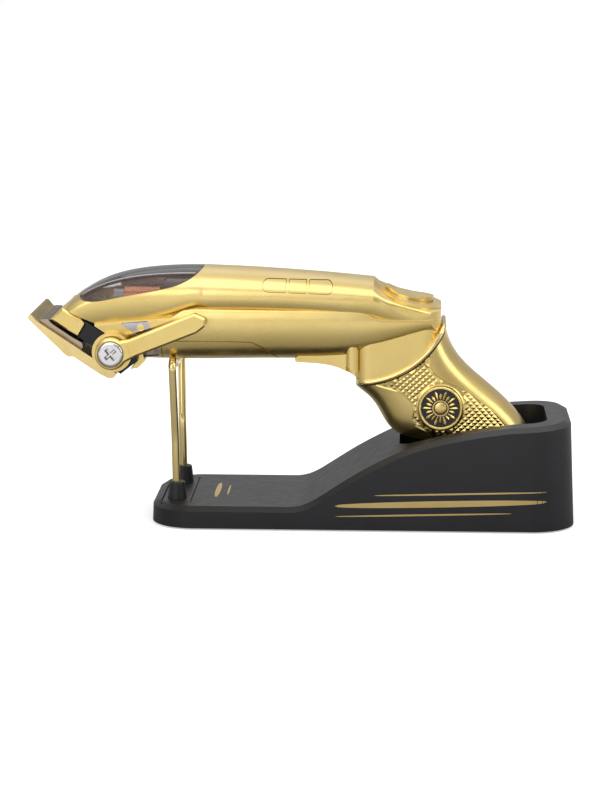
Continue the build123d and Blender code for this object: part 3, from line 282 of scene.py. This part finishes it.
def smoked_glass():
    """Glass whose tint and opacity depend on the distance from the middle plane."""
    glass = surface("smoked", (0.03, 0.025, 0.025), 0.0, 0.09, IOR=1.38)
    vary_roughness(glass, noise(glass, 120), 0.07, 0.12)
    split = add_node(glass, "ShaderNodeSeparateXYZ")
    outwards = add_node(glass, "ShaderNodeMath", operation="ABSOLUTE")
    blend_from, blend_to = CLEAR_FROM - CLEAR_BLEND, CLEAR_FROM + CLEAR_BLEND
    clear = add_node(glass, "ShaderNodeMapRange", From_Min=blend_from, From_Max=blend_to)
    tint = add_node(glass, "ShaderNodeMix", data_type="RGBA")
    tint.inputs["A"].default_value = (*GLASS_DARK, 1)
    tint.inputs["B"].default_value = (*GLASS_CLEAR, 1)
    opacity = add_node(glass, "ShaderNodeMapRange", To_Min=GLASS_DARK_ALPHA, To_Max=GLASS_CLEAR_ALPHA)
    links = glass.node_tree.links
    links.new(place(glass), split.inputs["Vector"])
    links.new(split.outputs["Y"], outwards.inputs[0])
    links.new(outwards.outputs["Value"], clear.inputs["Value"])
    links.new(clear.outputs["Result"], tint.inputs["Factor"])
    links.new(clear.outputs["Result"], opacity.inputs["Value"])
    links.new(tint.outputs["Result"], shader_of(glass).inputs["Base Color"])
    links.new(opacity.outputs["Result"], shader_of(glass).inputs["Alpha"])
    return glass


smoked = smoked_glass()

LOOKS = {
    "stand_shell": stand_black, "stand_base_plate": base_black, "stand_feet": rubber,
    "stand_screws": fastener, "cradle_block": stand_black, "cradle_rod": polished_gold,
    "charge_block": socket_black, "charge_pins": contact_gold, "power_inlet": socket_black,
    "charge_board": board_green, "top_housing": satin_gold, "motor_window": smoked,
    "bottom_housing": satin_gold, "side_plate_backing": bracket_black, "side_plates": plate_steel,
    "side_plate_inserts": polished_gold, "belly_cover": satin_gold, "finger_rest": satin_gold,
    "guard_pins": satin_gold, "grip_rim": polished_gold, "grip_shell": satin_gold,
    "grip_panel_left": knurl_gold, "grip_panel_right": knurl_gold, "grip_emblems": emblem_gold,
    "indicator_bars": satin_gold, "power_switch": socket_black, "control_board": board_green,
    "nose_cap": satin_gold, "blade_bracket": bracket_black, "fixed_blade": blade_gold,
    "blade_screws": fastener, "armature_springs": steel, "motor_frame": motor_steel,
    "motor_coil": copper, "battery": battery_wrap, "charge_contacts": contact_gold,
    "pivot_cap": satin_gold, "power_button": satin_gold, "taper_lever": satin_gold,
    "lever_screw": chrome, "cutter_carriage": bracket_black, "cutter_blade": cutter_bronze,
    "armature": motor_steel, "drive_finger": bracket_black, "armature_magnets": magnet_grey,
}
for name, material in LOOKS.items():
    mesh = nodes[name].data
    mesh.materials.clear()
    mesh.materials.append(material)


# ---- mesh helpers ------------------------------------------------------------------------------
def piece(name, points, faces, materials, body, replaced=(), indices=None, smooth=None):
    """A mesh object in the row frame, with its body, slot and the CAD nodes that it stands for."""
    mesh = bpy.data.meshes.new(name)
    mesh.from_pydata([tuple(p) for p in points], [], faces)
    for material in materials:
        mesh.materials.append(material)
    if indices is not None:
        mesh.polygons.foreach_set("material_index", indices)
    mesh.validate()
    made = bpy.data.objects.new(name, mesh)
    bpy.context.scene.collection.objects.link(made)
    if smooth is not None:
        mesh.shade_smooth()
        mesh.set_sharp_from_angle(angle=math.radians(smooth))
    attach(made, body)
    if replaced:
        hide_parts(*replaced)
    return made


def tree_of(node):
    """A search tree over a CAD node's surface."""
    mesh = nodes[node].data
    mesh.calc_loop_triangles()
    return BVHTree.FromPolygons(
        [tuple(v.co) for v in mesh.vertices], [tuple(t.vertices) for t in mesh.loop_triangles]
    )


WELD_DISTANCE = 0.001 * MM
FACES_OUT = 0.35
SHORTEST_LOOP = 6


def outer_loops(node, side):
    """Closed edge loops round a panel's outer face, in the row frame."""
    work = bmesh.new()
    work.from_mesh(nodes[node].data)
    bmesh.ops.remove_doubles(work, verts=work.verts, dist=WELD_DISTANCE)
    outer = {f for f in work.faces if f.normal.y * side > FACES_OUT}
    links = {}
    for edge in work.edges:
        if sum(f in outer for f in edge.link_faces) == 1:
            a, b = edge.verts
            links.setdefault(a.index, []).append(b.index)
            links.setdefault(b.index, []).append(a.index)
    work.verts.ensure_lookup_table()
    loops, left = [], set(links)
    while left:
        start = min(left)
        chain, here = [start], start
        left.discard(start)
        while True:
            ahead = [v for v in links[here] if v in left]
            if not ahead:
                break
            here = ahead[0]
            left.discard(here)
            chain.append(here)
        if len(chain) >= SHORTEST_LOOP:
            loops.append([work.verts[v].co.copy() for v in chain])
    work.free()
    return loops


def length_round(loop):
    """Length of a closed loop."""
    return sum((a - b).length for a, b in zip(loop, loop[1:] + loop[:1]))


def spaced(loop, gap):
    """A closed loop's points again, evenly spaced by about a gap."""
    total = length_round(loop)
    count = max(8, round(total / gap))
    made, along, edge = [], 0.0, 0
    sides = list(zip(loop, loop[1:] + loop[:1]))
    for i in range(count):
        target = total * i / count
        while along + (sides[edge][1] - sides[edge][0]).length < target:
            along += (sides[edge][1] - sides[edge][0]).length
            edge += 1
        a, b = sides[edge]
        made.append(a.lerp(b, (target - along) / (b - a).length))
    return made


def inside(x, z, polygon):
    """Whether a point lies in a closed polygon of x, z pairs."""
    px, pz = polygon[:, 0], polygon[:, 1]
    qx, qz = np.roll(px, -1), np.roll(pz, -1)
    crosses = (pz > z) != (qz > z)
    where = px + (z - pz) / np.where(qz == pz, 1e-12, qz - pz) * (qx - px)
    return bool(np.count_nonzero(crosses & (x < where)) % 2)


def clearance(x, z, polygon):
    """Distance from a point to the nearest side of a closed polygon."""
    a, b = polygon, np.roll(polygon, -1, axis=0)
    along = b - a
    t = np.clip(((np.array([x, z]) - a) * along).sum(1) / np.maximum((along**2).sum(1), 1e-18), 0, 1)
    return float(np.sqrt((((a + along * t[:, None]) - [x, z]) ** 2).sum(1)).min())


# ---- knurled grip panels -----------------------------------------------------------------------
KNURL_WIDTH = 2.6 * MM
KNURL_RISE = 2.5 * MM
KNURL_DEPTH = 0.45 * MM
BORDER_WIDTH = 0.55 * MM
BORDER_DROP = 0.32 * MM
KNURL_TURN = math.radians(-3)
PANEL_THICKNESS = 0.45 * MM
# The outline's point spacing, how far its very edge is lowered, and the room between border and knurl.
OUTLINE_GAP = 0.8 * MM
EDGE_DROP = 0.05 * MM
BORDER_ROOM = 0.25 * MM
# Where rays on to the panel start, and how far a ray that slips through a seam is moved.
RAY_START = 50 * MM
RAY_NUDGE = 0.03 * MM


def knurled_panel(name, node, side):
    """A panel of small diamond pyramids that follows the CAD panel's outer face."""
    loops = sorted(outer_loops(node, side), key=length_round, reverse=True)
    edges_3d = [spaced(loop, OUTLINE_GAP) for loop in loops[:2]]
    outlines = [np.array([(p.x, p.z) for p in loop]) for loop in edges_3d]
    tree = tree_of(node)

    def within(x, z):
        """Whether a point is on the panel and not in the hole for the badge."""
        return inside(x, z, outlines[0]) and not inside(x, z, outlines[1])

    def room(x, z):
        """Distance from a point to the nearest outline."""
        return min(clearance(x, z, outline) for outline in outlines)

    def face_at(x, z):
        """The CAD face at x, z, tried again beside a seam that a ray slips through."""
        for nudge in (0.0, RAY_NUDGE, -RAY_NUDGE):
            hit = tree.ray_cast(Vector((x + nudge, side * RAY_START, z + nudge)), Vector((0, -side, 0)))[0]
            if hit is not None and hit.y * side > 0:
                return hit
        return None

    points, drops, links = [], [], []
    for loop in edges_3d:
        first = len(points)
        points += [Vector((p.x, p.z)) for p in loop]
        drops += [(p.y, EDGE_DROP) for p in loop]
        links += [(first + i, first + (i + 1) % len(loop)) for i in range(len(loop))]
        for here, ahead, behind in zip(loop, loop[1:] + loop[:1], loop[-1:] + loop[:-1]):
            across = Vector((-(ahead - behind).z, (ahead - behind).x)).normalized() * BORDER_WIDTH
            for way in (-1, 1):
                x, z = here.x + way * across.x, here.z + way * across.y
                if within(x, z) and room(x, z) > 0.85 * BORDER_WIDTH:
                    hit = face_at(x, z)
                    if hit is not None:
                        points.append(Vector((x, z)))
                        drops.append((hit.y, BORDER_DROP))
    cosine, sine = math.cos(KNURL_TURN), math.sin(KNURL_TURN)
    turn = np.array([[cosine, -sine], [sine, cosine]])
    low, high = outlines[0].min(0), outlines[0].max(0)
    centre = (low + high) / 2
    reach = int(np.linalg.norm(high - low) / KNURL_RISE) + 2
    grid = {}
    for i in range(-reach, reach + 1):
        for j in range(-reach, reach + 1):
            x, z = centre + turn @ np.array([i * KNURL_WIDTH / 2, j * KNURL_RISE / 2])
            if not within(x, z) or room(x, z) < BORDER_WIDTH + BORDER_ROOM:
                continue
            hit = face_at(x, z)
            if hit is None:
                continue
            grid[i, j] = len(points)
            points.append(Vector((x, z)))
            drops.append((hit.y, KNURL_DEPTH if (i + j) % 2 else 0.0))
    for (i, j), k in grid.items():
        if (i + j) % 2:
            links += [(k, grid[i + 1, j + d]) for d in (-1, 1) if (i + 1, j + d) in grid]
    flat, _, faces, origin, _, _ = delaunay_2d_cdt(points, links, [], 0, 1e-9)
    solid = []
    for p, source in zip(flat, origin):
        y, drop = drops[source[0]]
        solid.append((p.x, y - side * drop, p.y))
    kept = []
    for face in faces:
        middle = sum((flat[v] for v in face), Vector((0, 0))) / len(face)
        if within(*middle):
            kept.append(tuple(face) if side < 0 else tuple(reversed(face)))
    panel = piece(name, solid, kept, [knurl_gold], "clipper", (node,))
    skin = panel.modifiers.new("thickness", "SOLIDIFY")
    skin.thickness = PANEL_THICKNESS
    skin.offset = -1


for word in ("left", "right"):
    panel_side = 1 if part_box(f"grip_panel_{word}")[1].y > 0 else -1
    knurled_panel(f"knurled_panel_{word}", f"grip_panel_{word}", panel_side)


# ---- bead round the grip's top, a dark tube under it as painted shadow, and painted highlight lines on the window ---
TUBE_ROUNDNESS = 4


def tube(name, points, radius, material, body, closed=False):
    """A round bar along a path, as a mesh."""
    curve = bpy.data.curves.new(name, "CURVE")
    curve.dimensions = "3D"
    curve.bevel_depth = radius
    curve.bevel_resolution = TUBE_ROUNDNESS
    curve.use_fill_caps = not closed
    line = curve.splines.new("POLY")
    line.points.add(len(points) - 1)
    for point, place_at in zip(line.points, points):
        point.co = (*place_at, 1)
    line.use_cyclic_u = closed
    holder = bpy.data.objects.new(name + "_path", curve)
    mesh = bpy.data.meshes.new_from_object(holder)
    mesh.name = name
    bpy.data.objects.remove(holder)
    mesh.materials.clear()
    mesh.materials.append(material)
    mesh.shade_smooth()
    made = bpy.data.objects.new(name, mesh)
    bpy.context.scene.collection.objects.link(made)
    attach(made, body)


RIM_CENTRE = (22.3 * MM, 98.0 * MM)
RIM_FRONT = 23.1 * MM
RIM_REAR = 57.9 * MM
RIM_FRONT_CORNER = 5.0 * MM
RIM_REAR_CORNER = 7.0 * MM
RIM_TURN_STEP = 9
RIM_POINT_GAP = 1.2 * MM
BEAD_PATH_RADIUS = 39.2 * MM
BEAD_RADIUS = 1.0 * MM
BEAD_HALF_WIDTH = 18.4 * MM
# A dark tube just below and inside the bead: painted shadow of the gap between the bead and the knurled
# panel.
SHADOW_TUBE_PATH_RADIUS = 40.3 * MM
SHADOW_TUBE_RADIUS = 0.45 * MM
SHADOW_TUBE_HALF_WIDTH = 17.65 * MM


def rim_path(circle_radius, half_width):
    """A ring round the grip's top: a rounded rectangle from above, an arc from the side."""
    rear_x, rear_y = RIM_REAR - RIM_REAR_CORNER, half_width - RIM_REAR_CORNER
    front_x, front_y = RIM_FRONT + RIM_FRONT_CORNER, half_width - RIM_FRONT_CORNER
    corners = []
    for corner_x, corner_y, radius, start in (
        (rear_x, rear_y, RIM_REAR_CORNER, 90),
        (rear_x, -rear_y, RIM_REAR_CORNER, 0),
        (front_x, -front_y, RIM_FRONT_CORNER, -90),
        (front_x, front_y, RIM_FRONT_CORNER, 180),
    ):
        for step in range(0, 91, RIM_TURN_STEP):
            angle = math.radians(start - step)
            corners.append((corner_x + radius * math.cos(angle), corner_y + radius * math.sin(angle)))
    plan = []
    for (ax, ay), (bx, by) in zip(corners, corners[1:] + corners[:1]):
        count = max(1, round(math.hypot(bx - ax, by - ay) / RIM_POINT_GAP))
        plan += [(ax + (bx - ax) * i / count, ay + (by - ay) * i / count) for i in range(count)]
    return [(x, y, RIM_CENTRE[1] - math.sqrt(circle_radius**2 - (x - RIM_CENTRE[0]) ** 2)) for x, y in plan]


bead_path = rim_path(BEAD_PATH_RADIUS, BEAD_HALF_WIDTH)
tube("grip_bead", bead_path, BEAD_RADIUS, polished_gold, "clipper", closed=True)
# The dark tube under the bead is painted shadow of the gap there.
shadow_tube_path = rim_path(SHADOW_TUBE_PATH_RADIUS, SHADOW_TUBE_HALF_WIDTH)
tube("grip_shadow_tube", shadow_tube_path, SHADOW_TUBE_RADIUS, rubber, "clipper", closed=True)

# A light grey tube along each side of the window's dark band: a low ridge whose light colour is a painted
# highlight.
HIGHLIGHT_LINE_RADIUS = 0.3 * MM
HIGHLIGHT_LINE_POINTS = 40
HIGHLIGHT_LINE_FRONT_ROOM, HIGHLIGHT_LINE_REAR_ROOM = 1.5 * MM, 1.0 * MM
ABOVE_ALL = 120 * MM
window_tree = tree_of("motor_window")
window_low, window_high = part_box("motor_window")
for word, side in (("near", -1), ("far", 1)):
    highlight_line = []
    for x in np.linspace(window_low.x + HIGHLIGHT_LINE_FRONT_ROOM, window_high.x - HIGHLIGHT_LINE_REAR_ROOM, HIGHLIGHT_LINE_POINTS):
        hit = window_tree.ray_cast(Vector((x, side * CLEAR_FROM, ABOVE_ALL)), Vector((0, 0, -1)))[0]
        if hit is not None:
            highlight_line.append((x, side * CLEAR_FROM, hit.z - HIGHLIGHT_LINE_RADIUS / 2))
    tube(f"window_seal_{word}", highlight_line, HIGHLIGHT_LINE_RADIUS, painted_highlight_grey, "clipper")


# ---- grip rosettes -----------------------------------------------------------------------------
def lathe(profile, centre, side, segments=72):
    """Points and faces of a closed profile of radius, height pairs turned about Y at centre."""
    points, faces = [], []
    count = len(profile)
    for i in range(segments):
        angle = 2 * math.pi * i / segments
        for radius, rise in profile:
            points.append((
                centre[0] + radius * math.cos(angle),
                centre[1] + side * rise,
                centre[2] + radius * math.sin(angle),
            ))
    for i in range(segments):
        for j in range(count):
            a, b = i * count + j, i * count + (j + 1) % count
            c, d = (i + 1) % segments * count + (j + 1) % count, (i + 1) % segments * count + j
            faces.append((a, b, c, d) if side > 0 else (d, c, b, a))
    return points, faces


def joined(parts):
    """Several point and face lists as one, with a material index for each face."""
    points, faces, indices = [], [], []
    for part_points, part_faces, index in parts:
        first = len(points)
        points += part_points
        faces += [tuple(v + first for v in face) for face in part_faces]
        indices += [index] * len(part_faces)
    return points, faces, indices


ROSETTE_HEIGHT = 2.2 * MM
ROSETTE_FLOOR = ROSETTE_HEIGHT - 0.75 * MM
ROSETTE_ROOT = ROSETTE_FLOOR - 0.1 * MM
ROSETTE_RAYS = 20
ROSETTE_SHARP_ANGLE = 35
RAY_TIPS = (7.3 * MM, 6.2 * MM)
RAY_FOOT, RAY_FOOT_HALF = 3.6 * MM, 0.16 * MM
RAY_POINT, RAY_POINT_HALF = 1.0 * MM, 0.55 * MM
DOME_RADIUS, DOME_RISE = 2.5 * MM, 0.65 * MM
RING_INNER, RING_OUTER, RING_RISE = 2.9 * MM, 3.3 * MM, 0.3 * MM
# A lathe profile stops this close to its axis.
ON_AXIS = 0.0001 * MM
enamel = moulded("enamel", (0.006, 0.006, 0.008), (0.011, 0.011, 0.014), 0.10, 0.18, grain=500, strength=0.04)


def ray(centre, side, angle, tip):
    """One pointed ray with a ridge along its middle, as points and faces."""
    outline = [(RAY_FOOT, RAY_FOOT_HALF), (tip - RAY_POINT, RAY_POINT_HALF), (tip, 0.0),
               (tip - RAY_POINT, -RAY_POINT_HALF), (RAY_FOOT, -RAY_FOOT_HALF)]
    ridge = [(4.0 * MM, 0.0), (tip - 1.2 * MM, 0.0)]
    points = [(r, w, ROSETTE_ROOT) for r, w in outline]
    points += [(r, w, ROSETTE_FLOOR + 0.12 * MM) for r, w in outline]
    points += [(r, w, ROSETTE_FLOOR + 0.5 * MM) for r, w in ridge]
    faces = [(i, (i + 1) % 5, 5 + (i + 1) % 5, 5 + i) for i in range(5)]
    faces += [(5, 6, 11, 10), (6, 7, 11), (7, 8, 11), (8, 9, 10, 11), (9, 5, 10), (4, 3, 2, 1, 0)]
    placed = [
        (
            centre[0] + r * math.cos(angle) - w * math.sin(angle),
            centre[1] + side * level,
            centre[2] + r * math.sin(angle) + w * math.cos(angle),
        )
        for r, w, level in points
    ]
    return placed, faces


def rosette(name, side):
    """A round badge: black enamel with a gold rim, straight tapered rays and a domed middle."""
    low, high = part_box("grip_emblems")
    centre = ((low.x + high.x) / 2, side * (high.y - ROSETTE_HEIGHT), (low.z + high.z) / 2)
    radius = (high.x - low.x) / 2
    top = ROSETTE_HEIGHT
    rim = [(radius - 1.3 * MM, 0), (radius, 0), (radius, top - 0.3 * MM), (radius - 0.3 * MM, top),
           (radius - 0.8 * MM, top), (radius - 1.1 * MM, top - 0.3 * MM), (radius - 1.3 * MM, top - 0.9 * MM)]
    disc_radius = radius - 1.25 * MM
    disc = [(ON_AXIS, 0), (disc_radius, 0), (disc_radius, ROSETTE_FLOOR), (ON_AXIS, ROSETTE_FLOOR)]
    dome = [(ON_AXIS, ROSETTE_ROOT), (DOME_RADIUS, ROSETTE_ROOT)]
    dome += [
        (DOME_RADIUS * math.cos(angle), ROSETTE_FLOOR + DOME_RISE * math.sin(angle))
        for angle in np.linspace(0.1, math.pi / 2 - 0.01, 8)
    ]
    ring_top = ROSETTE_FLOOR + RING_RISE
    ring = [(RING_INNER, ROSETTE_ROOT), (RING_OUTER, ROSETTE_ROOT),
            (RING_OUTER, ring_top), (RING_INNER, ring_top)]
    parts = []
    for profile, index in ((rim, 0), (disc, 1), (dome, 0), (ring, 0)):
        parts.append((*lathe(profile, centre, side), index))
    for i in range(ROSETTE_RAYS):
        parts.append((*ray(centre, side, 2 * math.pi * i / ROSETTE_RAYS, RAY_TIPS[i % 2]), 0))
    points, faces, indices = joined(parts)
    badge = piece(
        name, points, faces, [emblem_gold, enamel], "clipper", ("grip_emblems",), indices,
        ROSETTE_SHARP_ANGLE,
    )
    work = bmesh.new()
    work.from_mesh(badge.data)
    bmesh.ops.recalc_face_normals(work, faces=work.faces)
    work.to_mesh(badge.data)
    work.free()


rosette("rosette_near", -1)
rosette("rosette_far", 1)


# ---- printed lines on the stand ----------------------------------------------------------------
print_gold = plated("print_gold", (0.66, 0.48, 0.18), (0.78, 0.58, 0.24), 0.3, 0.38)
PRINT_LIFT = 0.03 * MM
PRINT_THICKNESS = 0.06 * MM
PRINT_STEPS = 60
# The power that shapes a stripe's ends: small is blunt, 1 is a plain sine.
PRINT_TAPER = 0.35
# How far out to the side and how high up the stripes are thrown from.
THROW_SIDE = 60 * MM
THROW_HEIGHT = 30 * MM
stand_tree = tree_of("stand_shell")


def printed_line(name, start, end, spread, towards):
    """A thin tapered stripe laid on the stand, thrown onto it from outside."""
    start, end, spread, towards = (Vector(v) for v in (start, end, spread, towards))
    points, faces = [], []
    for i in range(PRINT_STEPS + 1):
        share = i / PRINT_STEPS
        taper = max(0.0, math.sin(math.pi * share)) ** PRINT_TAPER
        for lift in (-1, 0, 1):
            hit = stand_tree.ray_cast(start.lerp(end, share) + spread * (lift * taper), towards)[0]
            points.append(hit - towards * PRINT_LIFT)
    outwards = (end - start).cross(spread).dot(towards) < 0
    for i in range(PRINT_STEPS):
        for j in range(2):
            a = i * 3 + j
            face = (a, a + 3, a + 4, a + 1)
            faces.append(face if outwards else tuple(reversed(face)))
    stripe = piece(name, points, faces, [print_gold], "stand")
    skin = stripe.modifiers.new("thickness", "SOLIDIFY")
    skin.thickness = PRINT_THICKNESS
    skin.offset = -1


# Millimetres: name, start and end as x and z, and half the width.
SIDE_LINES = (
    ("wide_line", (14.0, 10.5), (100.0, 13.0), 1.3),
    ("upper_line", (30.0, 15.0), (100.0, 17.0), 0.35),
    ("lower_line", (14.0, 6.2), (86.0, 8.2), 0.35),
)
# Millimetres: name, x, half the length across the plate, and half the width.
PLATE_LINES = (("plate_line_wide", -36.0, 13.0, 1.1), ("plate_line_thin", -31.5, 9.0, 0.4))
for word, side in (("near", -1), ("far", 1)):
    for line, (x0, z0), (x1, z1), half_width in SIDE_LINES:
        start, end = (x0 * MM, side * THROW_SIDE, z0 * MM), (x1 * MM, side * THROW_SIDE, z1 * MM)
        printed_line(f"{line}_{word}", start, end, (0, 0, half_width * MM), (0, -side, 0))
for line, x, half_length, half_width in PLATE_LINES:
    start, end = (x * MM, -half_length * MM, THROW_HEIGHT), (x * MM, half_length * MM, THROW_HEIGHT)
    printed_line(line, start, end, (half_width * MM, 0, 0), (0, 0, -1))


# ---- floor -------------------------------------------------------------------------------------
FLOOR_REACH = 8.0
# In reflections the paper is grey up to the near distance and light from the far one, as between black flags.
FADE_NEAR, FADE_FAR = 0.08, 0.45
GREY_NEAR, GREY_FAR = 0.30, 0.90
# The grey zone reaches further along the stand than across it.
FADE_STRETCH = (0.35, 1, 1)
PAPER_TONE = 0.86
PAPER_GLOW = 0.42


def paper():
    """Paper that is white to the camera and greyer in what the object reflects."""
    sheet = surface("floor_paper", (0.88, 0.88, 0.88), 0.0, 0.75)
    distance = add_node(sheet, "ShaderNodeVectorMath", operation="LENGTH")
    fade = add_node(
        sheet, "ShaderNodeMapRange", From_Min=FADE_NEAR, From_Max=FADE_FAR, To_Min=GREY_NEAR, To_Max=GREY_FAR
    )
    eye = add_node(sheet, "ShaderNodeLightPath")
    tone = add_node(sheet, "ShaderNodeMix", data_type="FLOAT")
    tone.inputs[3].default_value = PAPER_TONE
    glow = add_node(sheet, "ShaderNodeMix", data_type="FLOAT")
    glow.inputs[3].default_value = PAPER_GLOW
    links = sheet.node_tree.links
    links.new(place(sheet, FADE_STRETCH), distance.inputs[0])
    links.new(distance.outputs["Value"], fade.inputs["Value"])
    links.new(fade.outputs["Result"], tone.inputs[2])
    links.new(eye.outputs["Is Camera Ray"], tone.inputs[0])
    links.new(eye.outputs["Is Camera Ray"], glow.inputs[0])
    links.new(tone.outputs[0], shader_of(sheet).inputs["Base Color"])
    links.new(glow.outputs[0], shader_of(sheet).inputs["Emission Strength"])
    shader_of(sheet).inputs["Emission Color"].default_value = (1, 1, 1, 1)
    return sheet


floor_mesh = bpy.data.meshes.new("floor")
floor_corners = [(-FLOOR_REACH, -FLOOR_REACH, 0), (FLOOR_REACH, -FLOOR_REACH, 0),
                 (FLOOR_REACH, FLOOR_REACH, 0), (-FLOOR_REACH, FLOOR_REACH, 0)]
floor_mesh.from_pydata(floor_corners, [], [(0, 1, 2, 3)])
floor_mesh.materials.append(paper())
floor = bpy.data.objects.new("floor", floor_mesh)
bpy.context.scene.collection.objects.link(floor)
